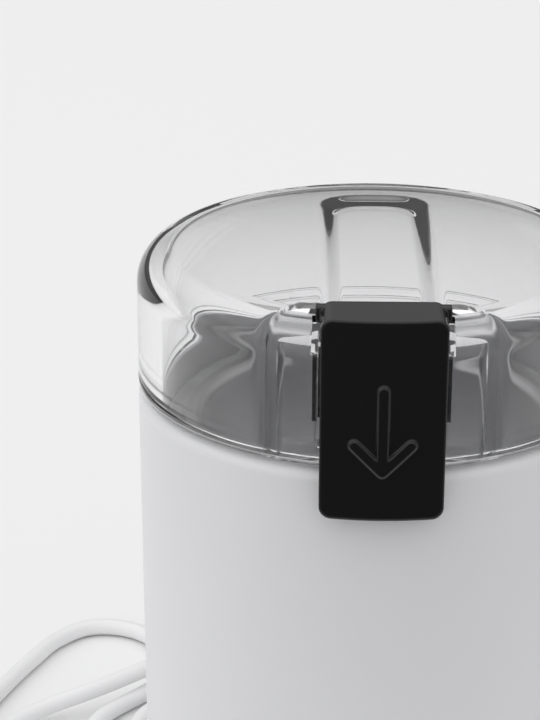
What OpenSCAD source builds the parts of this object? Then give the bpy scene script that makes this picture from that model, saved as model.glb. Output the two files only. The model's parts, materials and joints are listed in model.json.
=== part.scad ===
// Electric spice grinder: a cylindrical mains grinder with a thick clear lid, a push button that
// rides in the lid, a steel bowl with a winged blade, and a universal motor under the bowl.
// The origin is on the grinder's axis at the table. +Z is up and the button faces -Y.

/* [Housing] */
// Diameter of the housing at its top rim
body_top_d = 88; // [84:0.5:94]
// Diameter of the housing at its lower edge
body_base_d = 86; // [82:0.5:92]
// Height of the housing's rim above the table
body_h = 143; // [138:1:160]
// Thickness of the housing's wall
body_wall = 2.6; // [2.2:0.1:3]
// Radius of the rounded edge round the rim
rim_edge_r = 2; // [1:0.1:2.2]
// Height of the housing's lower edge above the table
body_foot_gap = 2; // [1:0.1:2.5]
// Depth of the seat that the lid plugs into, below the rim
lid_seat_depth = 6; // [4.5:0.5:8]
// Thickness of the shelf that carries the bowl
shelf_t = 2.4; // [2:0.1:3]

/* [Lid] */
// Height of the lid above the housing's rim
lid_h = 29; // [26:0.5:34]
// Rise of the domed top between the edge and the axis
dome_rise = 2; // [1:0.1:2.5]
// Thickness of the lid's side wall
lid_wall = 4.4; // [3.8:0.1:4.8]
// Thickness of the lid's top
lid_top_t = 3.2; // [2.8:0.1:4]
// Radius of the lid's outer top edge
lid_edge_r = 6.8; // [5.5:0.1:8]
// Radius of the corner inside the lid
lid_corner_r = 3.4; // [2:0.1:4]
// Height of the shadow gap between the rim and the lid
lid_gap = 1.2; // [0.8:0.1:1.6]
// Thickness of the skirt that plugs into the housing
skirt_t = 1.5; // [1.2:0.1:1.8]
// Width of the finger groove's floor
groove_w = 18.4; // [15:0.1:18.6]
// Depth of the finger groove
groove_depth = 1.6; // [1:0.1:1.9]
// Distance of the groove's far end behind the axis
groove_reach = 16; // [8:0.5:22]
// Thickness of the wall round the button's pocket
pocket_wall = 1.9; // [1.5:0.1:2]
// Radius of the rounded edges of the solid block round the pocket
block_edge_r = 2.4; // [1.6:0.1:2.8]
// Width of the solid block round the pocket
block_w = 38.2; // [35:0.2:39]

/* [Push button] */
// Width of the button
button_w = 21.2; // [18:0.1:22]
// How far the button's curved face stands out in front of the rim
button_stand = 4; // [3.4:0.1:6]
// Thickness of the button's face
button_face_t = 2.4; // [1.8:0.1:2.4]
// How far the button hangs below the rim
button_skirt = 6.6; // [4:0.1:9]
// How far the button's top stands above the lid's highest point
button_proud = 0.2; // [0:0.1:0.6]
// Travel of the button
button_travel = 5; // [3.5:0.1:5]
// Radius of the button's corners, seen from the front
button_corner_r = 2; // [1:0.1:2.2]
// Length of the arrow on the button
arrow_l = 16.4; // [12:0.2:18]
// Width of the arrow's lines
arrow_w = 1.9; // [1.4:0.1:2.2]
// How far the arrow stands out of the face
arrow_h = 0.5; // [0.3:0.1:0.8]

/* [Bowl and blade] */
// Distance from the rim's outside to the inside of the steel bowl
bowl_inset = 12; // [11.5:0.1:14]
// Depth of the bowl, from its flange to its underside
bowl_depth = 34; // [30:0.5:35]
// Thickness of the bowl's steel
bowl_t = 0.8; // [0.6:0.1:1]
// Radius between the bowl's wall and its floor
bowl_corner_r = 12; // [9:0.5:13]
// Width of the bowl's flange
flange_w = 2.6; // [2.3:0.1:2.6]
// Radius of the rounded edge at the bowl's mouth
bowl_lip_r = 2; // [1.2:0.1:2]
// Gap between the blade's tips and the bowl's wall
blade_gap = 4; // [3.5:0.1:8]
// Width of a blade wing
blade_w = 11; // [8:0.5:12]
// Thickness of the blade
blade_t = 1.5; // [1:0.1:2]
// Angle at which each wing's tip is bent
blade_bend = 24; // [10:1:30]

/* [Motor] */
// Diameter of the shaft
shaft_d = 6; // [5:0.5:6.5]
// Height of the lamination stack
stack_h = 22; // [18:1:23]
// Diameter of the armature
armature_d = 29.6; // [28:0.2:30.6]
// Air gap between the armature and the poles
air_gap = 0.5; // [0.4:0.1:0.7]
// Number of slots in the armature
armature_slots = 12; // [8:1:14]
// Diameter of the commutator
commutator_d = 18; // [16:0.5:19]
// Number of commutator bars
commutator_bars = 24; // [16:2:32]
// Diameter of the cooling fan
fan_d = 52; // [44:1:56]
// Number of fan blades
fan_blades = 11; // [7:1:14]
// Height of the fan
fan_h = 10; // [7:0.5:11]

/* [Base] */
// Thickness of the base plate
base_t = 2.6; // [2.2:0.1:3]
// Distance from the housing's outside to the outside of the rubber foot ring
foot_inset = 11; // [10:0.5:14]
// Width of the rubber foot ring
foot_w = 5; // [4:0.1:5]
// Number of ventilation slots in each ring of slots
vent_count = 16; // [10:1:20]

/* [Mains cord] */
// Diameter of the cord
cord_d = 4.4; // [4:0.1:4.5]
// Length of the strain relief outside the housing
relief_l = 28; // [24:1:30]
// Height of the cord's exit above the table
cord_exit_h = 14; // [13:0.5:16]
// Width of the plug across its pins' face
plug_w = 35.4; // [33:0.2:36]
// Thickness of the plug
plug_t = 13.8; // [13:0.2:14.4]
// Length of the plug's body
plug_l = 34; // [30:0.5:38]
// Distance between the plug's pins
pin_pitch = 18.6; // [17.5:0.1:19]
// Diameter of the plug's pins
pin_d = 4; // [3.8:0.1:4.2]
// Length of the plug's pins
pin_l = 19; // [18:0.5:20]

/* [Hidden] */
$fn = 96;
cut = 1;            // how far a cutting tool runs past a face
clear = 0.3;        // gap between pieces that pass each other
fit = 0.08;         // radial gap of a running fit
seat = 0.05;        // radial gap of a piece held on a shaft or in a bore
fine_fn = 360;      // facets of the large arcs

body_r = body_top_d / 2;
base_r = body_base_d / 2;
taper = (body_r - base_r) / (body_h - body_foot_gap);
shelf_z = body_h - lid_seat_depth;
seat_r = body_r - body_wall;

function outer_r(z) = base_r + taper * (z - body_foot_gap);
function inner_r(z) = outer_r(z) - body_wall;

// Lid and button
lid_top_z = body_h + lid_h;
lid_low_z = body_h + lid_gap;
lid_in_r = body_r - lid_wall;
skirt_r = lid_in_r + skirt_t;
edge_centre_r = body_r - lid_edge_r;
dome_r = (edge_centre_r * edge_centre_r + dome_rise * dome_rise) / (2 * dome_rise);
dome_centre_z = lid_top_z - dome_r;
ceiling_z = lid_top_z - lid_top_t;
lid_lip_h = 1.6;
lid_line_w = 0.5;
button_face_r = body_r + button_stand;
plunger_y = -(seat_r - 3.8);
button_top_z = lid_top_z + button_proud;
button_low_z = body_h - button_skirt;
button_back_y = -(lid_in_r - 1.6);
button_side_t = 1.8;
carrier_y = -(sqrt(lid_in_r * lid_in_r - pow(button_w / 2 + 1.6, 2)) - 0.4);
carrier_t = 1.6;
carrier_half_w = button_w / 2 + 0.8;
sill_h = 3.3;
sill_z = lid_low_z + sill_h;
slide_low_z = sill_z + button_travel + clear;
slot_half_w = button_w / 2 + clear;
tab_w = 1.1;
tab_h = 2.6;
tab_d = 2;
tab_drop = 0.4;
pocket_half_w = block_w / 2 - pocket_wall;
pocket_back_y = carrier_y + carrier_t + 1.2;
leg_r = 1.5;
leg_low_z = shelf_z + 1.5;
plunger_top_z = leg_low_z - clear;
arrow_head = 9;
arrow_mid_z = body_h + 9.6;

// Bowl
bowl_r = body_r - bowl_inset;
blade_r = bowl_r - blade_gap;
gasket_t = 0.8;
flange_z = shelf_z + gasket_t;
bowl_low_z = flange_z + bowl_t - bowl_depth;
bowl_out_r = bowl_r + bowl_t;
shelf_hole_r = bowl_out_r + clear;
hump_h = 4;
hump_r = 8;
bowl_hole_r = shaft_d / 2 + 1.2;
hump_z = bowl_low_z + bowl_t + hump_h;
seal_flange_r = 6.2;
seal_flange_t = 1.6;

// Blade stack on the shaft
hub_z = hump_z + seal_flange_t + 0.5;
hub_h = 2.5;
hub_r = 6;
blade_z = hub_z + hub_h;
nut_z = blade_z + blade_t;
nut_h = 3.2;
nut_flats = 9;
thread_r = shaft_d / 2 - 0.6;

// Motor, placed down from the bowl
plate_t = 3;
hub_top_r = 11;
upper_plate_z = bowl_low_z - 8;
motor_mount_t = 3;
boss_low_z = upper_plate_z + plate_t + motor_mount_t;
boss_r = 3.6;
boss_at_r = inner_r(upper_plate_z) - boss_r - 0.3;
boss_angles = [90, 210, 330];
coil_over = 6;
stack_top_z = upper_plate_z - coil_over - 2;
stack_z = stack_top_z - stack_h;
stack_mid_z = stack_z + stack_h / 2;
bore_r = armature_d / 2 + air_gap;
stator_w = 62;
stator_d = 46;
stator_r = 33;
pole_neck = 16;
coil_w = 4.8;
coil_t = 6;
window_r = bore_r + 1.6;
bolt_x = window_r + coil_w + 4.4;
bolt_r = 1.9;
winding_h = 6.5;
commutator_h = 12;
commutator_z = stack_z - winding_h - commutator_h - 1;
lower_plate_z = commutator_z - plate_t - 1.5;
brush_w = 5;
brush_h = 6;
brush_l = 11;
brush_gap = 0.2;
holder_wall = 1.2;
holder_l = 17;
holder_y = commutator_d / 2 + 2;
brush_z = lower_plate_z + plate_t + holder_wall + brush_h / 2 + fit;
bearing_r = 5;
bearing_h = 6;
upper_seat_drop = 1;
bearing_seat_r = bearing_r + 2.5;
lower_hub_h = bearing_h;
fan_z = lower_plate_z - lower_hub_h - 2.5 - fan_h;
fan_hub_r = 6;
shaft_low_z = fan_z - 1;
shaft_top_z = nut_z + nut_h + 1;
post_r = 4;

// Switch
rod_r = 1.72;
rod_bore_r = rod_r + fit;
guide_boss_l = 6;
collar_t = 1.5;
collar_r = 3;
collar_z = shelf_z - guide_boss_l - clear - collar_t;
foot_z = upper_plate_z + 2;
foot_t = 2.5;
foot_half_w = 2.5;
foot_in_y = -(inner_r(upper_plate_z - 16) - 10);
lever_rest = 20;
lever_turn = 15;
lever_t = 0.4;
lever_w = 3.6;
lever_l = 19.5;
switch_l = 20;
switch_w = 6.4;
switch_h = 10.2;
switch_y = foot_in_y - 2.2;
pivot_x = -16;
pivot_z = foot_z - clear - (foot_half_w - pivot_x) * tan(lever_rest) - lever_t / cos(lever_rest);
switch_top_z = pivot_z - 1;
holder_t = 1.5;
guide_z = collar_z - 17;
guide_t = 2.5;

// Base
plate_low_z = body_foot_gap + 1;
plate_r = inner_r(plate_low_z) - clear;
base_boss_angles = [30, 150, 270];
base_boss_r = 3.6;
base_boss_at_r = inner_r(plate_low_z) - base_boss_r - 0.4;
base_boss_h = 20;
base_screw_r = 1.5;
screw_grip = 10;
foot_r = base_r - foot_inset - foot_w / 2;
foot_groove = 1.2;
vent_in_r = 11;
vent_mid_r = 19;

// Cord
cord_r = cord_d / 2;
relief_root_r = cord_r + 2.6;
relief_tip_r = cord_r + 0.9;
relief_flange_r = relief_root_r + 1.6;
relief_flange_t = 2;
relief_pad_y = inner_r(cord_exit_h) - 3;
relief_end_y = outer_r(cord_exit_h) + relief_l;
cord_sides = 8;
cord_ring_step = 12;
clamp_y = relief_pad_y - 6.6;
clamp_w = 6;
clamp_x = 7;
clamp_post_r = 2.6;
plug_neck_l = 12;
// Route of the cord's middle line, from the strain relief to the plug
cord_route = [
    [0, relief_end_y, cord_exit_h], [0, 81, cord_exit_h], [-1, 93, 10], [-7, 107, 4.4],
    [-20, 121, 2.4], [-37, 128, 2.4], [-50, 123, 2.4], [-55.5, 110, 2.4], [-56, 80, 2.4],
    [-62.5, 64, 2.4], [-78.5, 57.5, 2.4], [-94.5, 64, 2.4], [-101, 80, 2.4], [-99, 105, 2.4],
    [-92, 130, 2.4], [-85, 148, 2.4], [-79, 160, 2.4], [-71, 167, 2.4], [-61, 166.5, 2.4],
    [-52, 159, 2.4], [-48, 148, 2.4], [-50, 137, 2.4], [-64, 117, 2.4], [-68, 101, 2.4],
    [-67, 86, 2.4], [-71.5, 75.5, 2.4], [-81.5, 71, 2.4], [-91.5, 75, 2.4], [-96, 85, 2.4],
    [-93.5, 103, 2.4], [-81, 118, 3.6], [-66, 124.5, 6.8], [-39, 145, 7.2], [-18, 155, 3.4],
    [5, 159, 2.4], [25, 153, 3], [34, 139, 4.8], [34, 123, 7], [34, 110, 7]
];
plug_at = cord_route[len(cord_route) - 1];
// The terminal block, and the leads that run from it up the inside of the wall
block_at = [-13.4, clamp_y - 15];
block_turn = 40;
terminal_l = 5;
terminal_z = switch_top_z - switch_h - holder_t - terminal_l;
function on_block(x, z) = [block_at.x + x * cos(block_turn), block_at.y + x * sin(block_turn), z];
function by_wall(a, z, gap) = [(inner_r(z) - gap) * cos(a), (inner_r(z) - gap) * sin(a), z];
switch_lead = [
    on_block(-4, 10.2), on_block(-4, 16), by_wall(166, 22, 8), by_wall(180, 33, 3.2),
    by_wall(196, 48, 3), by_wall(216, 60, 2.8), by_wall(240, 68, 4.8),
    [pivot_x + 2.2, switch_y, terminal_z - 0.7]
];
brush_lead = [
    on_block(4, 10.2), on_block(4, 15.5), by_wall(114, 22, 6.5), by_wall(103, 34, 3.5),
    by_wall(93, 46, 5.5), [0, holder_y + holder_l + 0.5, brush_z]
];
cord_core = [
    [-1, clamp_y - 7, cord_exit_h], [-3, clamp_y - 6.8, cord_exit_h - 1],
    [-5.4, clamp_y - 7.5, 11], on_block(8.4, 10)
];

// ---- Shared shapes ----

// A disc or ring between two radii
module ring(outer, inner, h, z = 0) {
    translate([0, 0, z])
        difference() {
            cylinder(r = outer, h = h);
            translate([0, 0, -cut])
                cylinder(r = inner, h = h + 2 * cut);
        }
}

// A rectangle centred on the origin with true arcs at its corners
module round_rect(w, d, r) {
    square([w - 2 * r, d], center = true);
    square([w, d - 2 * r], center = true);
    for (sx = [-1, 1], sy = [-1, 1])
        translate([sx * (w / 2 - r), sy * (d / 2 - r)])
            circle(r = r, $fn = 48);
}

// Copies its children round the axis
module around(count) {
    for (i = [0 : count - 1])
        rotate(i * 360 / count)
            children();
}

// Puts its children at a radius, at each of a list of angles
module at_angles(angles, r) {
    for (a = angles)
        rotate(a)
            translate([r, 0, 0])
                children();
}

// Half of a section whose top is domed, with a corner arc that meets the dome without a crease
module domed_half(r, low, apex_r, corner_r) {
    centre_r = r - corner_r;
    centre_z = dome_centre_z + sqrt(pow(apex_r - corner_r, 2) - centre_r * centre_r);
    lean = atan2(centre_r, centre_z - dome_centre_z);
    reach = apex_r * 1.02;
    translate([0, low])
        square([r, centre_z - low]);
    translate([0, low])
        square([centre_r, centre_z + corner_r / 2 - low]);
    translate([centre_r, centre_z])
        circle(r = corner_r);
    intersection() {
        translate([0, dome_centre_z])
            circle(r = apex_r, $fn = fine_fn * 4);
        polygon([
            [0, low],
            [centre_r, low],
            [centre_r, centre_z],
            [reach * sin(lean), dome_centre_z + reach * cos(lean)],
            [0, dome_centre_z + reach]
        ]);
    }
}

// Unit vectors and frames along a line of points, for tubes and springs
function unit(v) = v / norm(v);
function tangent(p, i) = unit(p[min(i + 1, len(p) - 1)] - p[max(i - 1, 0)]);
function side_of(t, last) = unit(last - t * (last * t));
function carried(p, i, last) =
    i >= len(p) ? [] :
    let (s = side_of(tangent(p, i), last))
    concat([s], carried(p, i + 1, s));

// A tube swept along points, closed at both ends
module tube(p, r, sides) {
    t0 = tangent(p, 0);
    start = abs(t0.z) > 0.9 ? [1, 0, 0] : [0, 0, 1];
    s = carried(p, 0, start);
    rings = [
        for (i = [0 : len(p) - 1])
            let (u = s[i], v = cross(tangent(p, i), u))
            for (k = [0 : sides - 1])
                p[i] + r * (cos(360 * k / sides) * u + sin(360 * k / sides) * v)
    ];
    walls = [
        for (i = [0 : len(p) - 2], k = [0 : sides - 1])
            let (a = i * sides + k, b = i * sides + (k + 1) % sides)
            for (face = [[b, a, a + sides], [b, a + sides, b + sides]])
                face
    ];
    first = [for (k = [0 : sides - 1]) k];
    last = [for (k = [sides - 1 : -1 : 0]) (len(p) - 1) * sides + k];
    polyhedron(rings, concat(walls, [first, last]), convexity = 6);
}

// Slope of a smooth line at each of its points, from the chords on both sides
function chord(p, i) = norm(p[i + 1] - p[i]);
function slope(p, i) =
    i == 0 ? unit(p[1] - p[0]) :
    i == len(p) - 1 ? unit(p[i] - p[i - 1]) :
    let (a = chord(p, i - 1), b = chord(p, i))
    (unit(p[i] - p[i - 1]) * b + unit(p[i + 1] - p[i]) * a) / (a + b);

// A point of the smooth line between its points i and i + 1, drawn so that points on an arc give the arc
function between(p, i, t) =
    let (
        from = unit(slope(p, i)),
        to = unit(slope(p, i + 1)),
        pull = chord(p, i) * 2 / (1 + sqrt((1 + from * to) / 2)),
        u = t * t * (3 - 2 * t)
    )
    p[i] * (1 - u) + p[i + 1] * u + (from * (1 - t) - to * t) * pull * t * (1 - t);

// The smooth line through a list of points, with a point about every step
function smooth_line(p, step) = concat(
    [
        for (i = [0 : len(p) - 2])
            let (n = max(1, round(chord(p, i) / step)))
            for (k = [0 : n - 1])
                between(p, i, k / n)
    ],
    [p[len(p) - 1]]
);

// A compression spring that stands on z = 0, with a closed coil at each end
module spring(coil_r, wire_r, h, turns, per_turn = 12, sides = 6) {
    steps = turns * per_turn;
    rise = h - 2 * wire_r;
    function lift(u) = u < 0.15 ? u * 0.35 : u > 0.85 ? 1 - (1 - u) * 0.35 : 0.0525 + (u - 0.15) * 1.2786;
    p = [
        for (i = [0 : steps])
            let (a = 360 * i / per_turn)
            [coil_r * cos(a), coil_r * sin(a), wire_r + rise * lift(i / steps)]
    ];
    tube(p, wire_r, sides);
}

// ---- Housing and base ----

// Half section of the moulded wall, with a rounded rim and a shelf for the bowl
module housing_half() {
    top_in = seat_r;
    difference() {
        union() {
            polygon([
                [0, body_foot_gap],
                [base_r - 0.8, body_foot_gap],
                [outer_r(body_foot_gap + 0.8), body_foot_gap + 0.8],
                [outer_r(body_h - rim_edge_r), body_h - rim_edge_r],
                [body_r - rim_edge_r, body_h],
                [0, body_h]
            ]);
            translate([outer_r(body_h - rim_edge_r) - rim_edge_r, body_h - rim_edge_r])
                circle(r = rim_edge_r, $fn = 48);
        }
        translate([0, shelf_z])
            square([top_in, lid_seat_depth + cut]);
        square([shelf_hole_r, body_h + cut]);
        polygon([
            [0, body_foot_gap - cut],
            [inner_r(body_foot_gap - cut), body_foot_gap - cut],
            [inner_r(shelf_z - shelf_t), shelf_z - shelf_t],
            [0, shelf_z - shelf_t]
        ]);
    }
}

module housing() {
    color("white")
        difference() {
            union() {
                rotate_extrude($fn = fine_fn)
                    housing_half();
                intersection() {
                    union() {
                        at_angles(boss_angles, boss_at_r)
                            translate([0, 0, boss_low_z])
                                cylinder(r = boss_r, h = shelf_z - shelf_t / 2 - boss_low_z);
                        at_angles(boss_angles, boss_at_r)
                            translate([0, -0.7, boss_low_z])
                                cube([boss_r + 1.5, 1.4, shelf_z - shelf_t / 2 - boss_low_z]);
                    }
                    translate([0, 0, boss_low_z - cut])
                        cylinder(r = outer_r(boss_low_z) - body_wall / 2, h = shelf_z);
                }
                translate([0, plunger_y, shelf_z - guide_boss_l])
                    cylinder(r = 3.2, h = guide_boss_l - shelf_t / 2);
                intersection() {
                    at_angles(base_boss_angles, base_boss_at_r)
                        translate([0, 0, plate_low_z + base_t]) {
                            cylinder(r = base_boss_r, h = base_boss_h);
                            translate([0, -0.8, 0])
                                cube([base_boss_r + 1.5, 1.6, base_boss_h]);
                        }
                    cylinder(r = base_r - body_wall / 2, h = body_h);
                }
                cord_boss();
            }
            at_angles(boss_angles, boss_at_r)
                translate([0, 0, boss_low_z - cut])
                    cylinder(r = base_screw_r + seat, h = 14);
            translate([0, plunger_y, shelf_z - guide_boss_l - cut])
                cylinder(r = rod_bore_r, h = guide_boss_l + 2 * cut);
            at_angles(base_boss_angles, base_boss_at_r)
                translate([0, 0, plate_low_z])
                    cylinder(r = base_screw_r + seat, h = base_t + 14);
            translate([0, relief_pad_y - cut, cord_exit_h])
                rotate([-90, 0, 0])
                    cylinder(r = relief_root_r + seat, h = body_wall + 12);
        }
}

// A flat pad inside the rear wall, where the strain relief's flange sits
module cord_boss() {
    w = 2 * relief_flange_r + 1;
    intersection() {
        translate([-w / 2, relief_pad_y, plate_low_z + base_t])
            cube([w, 6, 2 * (cord_exit_h - plate_low_z - base_t)]);
        cylinder(r = base_r - body_wall / 2, h = body_h);
    }
}

module base_plate() {
    color("white")
        difference() {
            union() {
                translate([0, 0, plate_low_z])
                    cylinder(r = plate_r, h = base_t);
                for (s = [-1, 1])
                    translate([s * clamp_x, clamp_y, plate_low_z])
                        cylinder(r = clamp_post_r, h = cord_exit_h - plate_low_z);
                translate([-clamp_x, clamp_y - clamp_w / 2 + 0.5, plate_low_z])
                    cube([2 * clamp_x, clamp_w - 1, cord_exit_h - cord_r - plate_low_z]);
                ring(foot_r + foot_w / 2 + 0.6, foot_r - foot_w / 2 - 0.6, base_t, plate_low_z + foot_groove);
            }
            ring(foot_r + foot_w / 2 + seat, foot_r - foot_w / 2 - seat, foot_groove + cut,
                 plate_low_z - cut);
            at_angles(base_boss_angles, base_boss_at_r)
                translate([0, 0, plate_low_z - cut])
                    cylinder(r = base_screw_r + clear, h = base_t + 2 * cut);
            vents(vent_in_r, vent_mid_r - 2.5);
            vents(vent_mid_r, foot_r - foot_w / 2 - 2);
            for (s = [-1, 1])
                translate([s * clamp_x, clamp_y, plate_low_z + 3])
                    cylinder(r = 1 + seat, h = cord_exit_h);
        }
}

// A ring of radial slots with round ends through the base plate
module vents(inner, outer) {
    around(vent_count)
        translate([0, 0, plate_low_z - cut]) {
            translate([inner, -1.1, 0])
                cube([outer - inner, 2.2, base_t + 6]);
            for (r = [inner, outer])
                translate([r, 0, 0])
                    cylinder(r = 1.1, h = base_t + 6, $fn = 24);
        }
}

module foot_ring() {
    color("dimgray")
        rotate_extrude($fn = fine_fn)
            translate([foot_r, 0]) {
                translate([-foot_w / 2 + 0.8, 0])
                    square([foot_w - 1.6, plate_low_z + foot_groove]);
                translate([-foot_w / 2, 0.8])
                    square([foot_w, plate_low_z + foot_groove - 0.8]);
                for (s = [-1, 1])
                    translate([s * (foot_w / 2 - 0.8), 0.8])
                        circle(r = 0.8, $fn = 32);
            }
}

// A pan-head screw that points up, with its head below z = 0 and a cross recess
module screw(r, l, head_r, head_h) {
    difference() {
        union() {
            cylinder(r = r, h = l, $fn = 32);
            translate([0, 0, -head_h])
                cylinder(r = head_r, h = head_h, $fn = 48);
        }
        for (a = [0, 90])
            rotate(a)
                translate([-head_r * 0.6, -0.4, -head_h - cut])
                    cube([head_r * 1.2, 0.8, cut + head_h * 0.6]);
    }
}

module base_screws() {
    color("silver")
        at_angles(base_boss_angles, base_boss_at_r)
            translate([0, 0, plate_low_z])
                screw(base_screw_r, base_t + 12, 2.8, 1.6);
}

// ---- Bowl ----

// Half section of a bowl with a rounded floor
module bowl_half(r, low, high, corner) {
    translate([0, low])
        square([r - corner, high - low]);
    translate([0, low + corner])
        square([r, high - low - corner]);
    translate([r - corner, low + corner])
        circle(r = corner);
}

// Half section of the space inside the bowl's mouth, which widens to the flange in a quarter round
module mouth_half(r, below) {
    low = flange_z + bowl_t - bowl_lip_r;
    difference() {
        translate([0, low - 0.01])
            square([bowl_r + bowl_lip_r, bowl_lip_r + 0.01 + (below > 0 ? 0 : cut)]);
        translate([bowl_r + bowl_lip_r, low])
            circle(r = r);
        translate([bowl_r + bowl_lip_r - r, low - cut])
            square([r + cut, cut]);
    }
}

module grinding_bowl() {
    top = flange_z + bowl_t;
    color("silver")
        rotate_extrude($fn = fine_fn)
            difference() {
                union() {
                    bowl_half(bowl_out_r, bowl_low_z, top - bowl_lip_r, bowl_corner_r);
                    mouth_half(bowl_lip_r - bowl_t, bowl_t);
                    translate([0, flange_z])
                        square([bowl_out_r + flange_w, bowl_t]);
                }
                difference() {
                    bowl_half(bowl_r, bowl_low_z + bowl_t, top - bowl_lip_r, bowl_corner_r - bowl_t);
                    translate([0, bowl_low_z])
                        square([hump_r, bowl_t + hump_h]);
                }
                mouth_half(bowl_lip_r, 0);
                translate([0, bowl_low_z - cut])
                    square([hump_r - bowl_t, cut + hump_h]);
                square([bowl_hole_r, body_h]);
            }
}

module bowl_gasket() {
    color("gainsboro")
        difference() {
            ring(lid_in_r - clear, bowl_r + bowl_lip_r + 0.1, gasket_t, shelf_z);
            translate([0, plunger_y, shelf_z - cut])
                cylinder(r = rod_r + 0.7, h = gasket_t + 2 * cut);
        }
}

module shaft_seal() {
    color("black")
        difference() {
            union() {
                ring(seal_flange_r, shaft_d / 2 + fit, seal_flange_t, hump_z);
                ring(bowl_hole_r - seat, shaft_d / 2 + fit, bowl_t + 1.2, hump_z - bowl_t - 1.2);
                ring(seal_flange_r, shaft_d / 2 + fit, 1.4, hump_z - bowl_t - 1.4);
            }
            translate([0, 0, hump_z - bowl_t])
                ring(seal_flange_r + cut, bowl_hole_r - seat, bowl_t);
        }
}

// ---- Blade ----

module blade_hub() {
    color("dimgray")
        difference() {
            union() {
                ring(hub_r, shaft_d / 2 + seat, hub_h - 0.8, hub_z);
                ring(hub_r - 1, shaft_d / 2 + seat, hub_h, hub_z);
            }
            around(6)
                translate([hub_r + 0.6, 0, hub_z - cut])
                    cylinder(r = 1.2, h = hub_h, $fn = 24);
        }
}

// Outline of one wing: narrow at the root, wide and cut back at the tip
module wing_outline() {
    intersection() {
        circle(r = blade_r);
        polygon([
            [0, -blade_w * 0.36],
            [blade_r * 0.45, -blade_w * 0.36],
            [blade_r * 0.72, -blade_w * 0.5],
            [blade_r + 1, -blade_w * 0.42],
            [blade_r + 1, blade_w * 0.3],
            [blade_r * 0.6, blade_w * 0.5],
            [0, blade_w * 0.44]
        ]);
    }
}

// One wing whose rear strip is bent along a line, with a ground leading edge
module wing(bend) {
    fold_y = blade_w * 0.16;
    difference() {
        linear_extrude(blade_t)
            difference() {
                wing_outline();
                translate([blade_r * 0.5, fold_y])
                    square([blade_r, blade_w]);
            }
        translate([blade_r * 0.42, -blade_w * 0.5, blade_t])
            rotate([-32, 0, -1.5])
                translate([0, -4, 0])
                    cube([blade_r, 4.9, 4]);
    }
    translate([0, fold_y, blade_t / 2])
        rotate([bend, 0, 0])
            translate([0, -fold_y, -blade_t / 2])
                linear_extrude(blade_t)
                    intersection() {
                        wing_outline();
                        translate([blade_r * 0.52, fold_y - 0.35])
                            square([blade_r, blade_w]);
                    }
}

module blade() {
    color("lightsteelblue")
        translate([0, 0, blade_z])
            difference() {
                union() {
                    cylinder(r = hub_r + 0.6, h = blade_t);
                    wing(blade_bend);
                    rotate(180)
                        wing(-blade_bend);
                }
                translate([0, 0, -cut])
                    cylinder(r = thread_r + seat, h = blade_t + 2 * cut);
            }
}

module blade_nut() {
    dome = nut_flats / 2;
    color("silver")
        difference() {
            union() {
                translate([0, 0, nut_z])
                    intersection() {
                        cylinder(r = nut_flats / sqrt(3), h = nut_h, $fn = 6);
                        cylinder(r = nut_flats * 0.56, h = nut_h);
                    }
                translate([0, 0, nut_z + nut_h])
                    intersection() {
                        translate([0, 0, -dome * 0.5])
                            sphere(r = dome * 0.98);
                        cylinder(r = dome, h = dome);
                    }
            }
            translate([0, 0, nut_z - cut])
                cylinder(r = thread_r + seat, h = nut_h + 1.2 + cut);
        }
}

// ---- Motor ----

module upper_bracket() {
    color("lightgray")
        difference() {
            union() {
                translate([0, 0, upper_plate_z])
                    cylinder(r = hub_top_r + 8, h = plate_t);
                translate([0, 0, upper_plate_z])
                    cylinder(r = hub_top_r, h = bowl_low_z - upper_plate_z);
                translate([0, 0, upper_plate_z - upper_seat_drop])
                    cylinder(r = bearing_seat_r, h = upper_seat_drop + 1);
                at_angles(boss_angles, 0)
                    translate([0, -boss_r - 0.6, upper_plate_z])
                        cube([boss_at_r, 2 * boss_r + 1.2, plate_t]);
                at_angles(boss_angles, boss_at_r)
                    translate([0, 0, upper_plate_z])
                        cylinder(r = boss_r + 0.2, h = plate_t);
                for (s = [-1, 1])
                    translate([s * bolt_x, 0, stack_top_z])
                        cylinder(r = post_r, h = upper_plate_z + plate_t - stack_top_z);
                translate([-bolt_x, -post_r, upper_plate_z])
                    cube([2 * bolt_x, 2 * post_r, plate_t]);
            }
            translate([0, 0, upper_plate_z - upper_seat_drop - cut])
                cylinder(r = bearing_r + seat, h = bearing_h + cut);
            translate([0, 0, upper_plate_z])
                cylinder(r = shaft_d / 2 + 1, h = bowl_low_z);
            translate([0, 0, bowl_low_z - 3])
                cylinder(r = hump_r, h = 3 + cut);
            at_angles(boss_angles, boss_at_r)
                translate([0, 0, upper_plate_z - cut])
                    cylinder(r = base_screw_r + clear, h = plate_t + 2 * cut);
            for (s = [-1, 1])
                translate([s * bolt_x, 0, stack_top_z - cut])
                    cylinder(r = bolt_r + seat, h = upper_plate_z + plate_t);
        }
}

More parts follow.
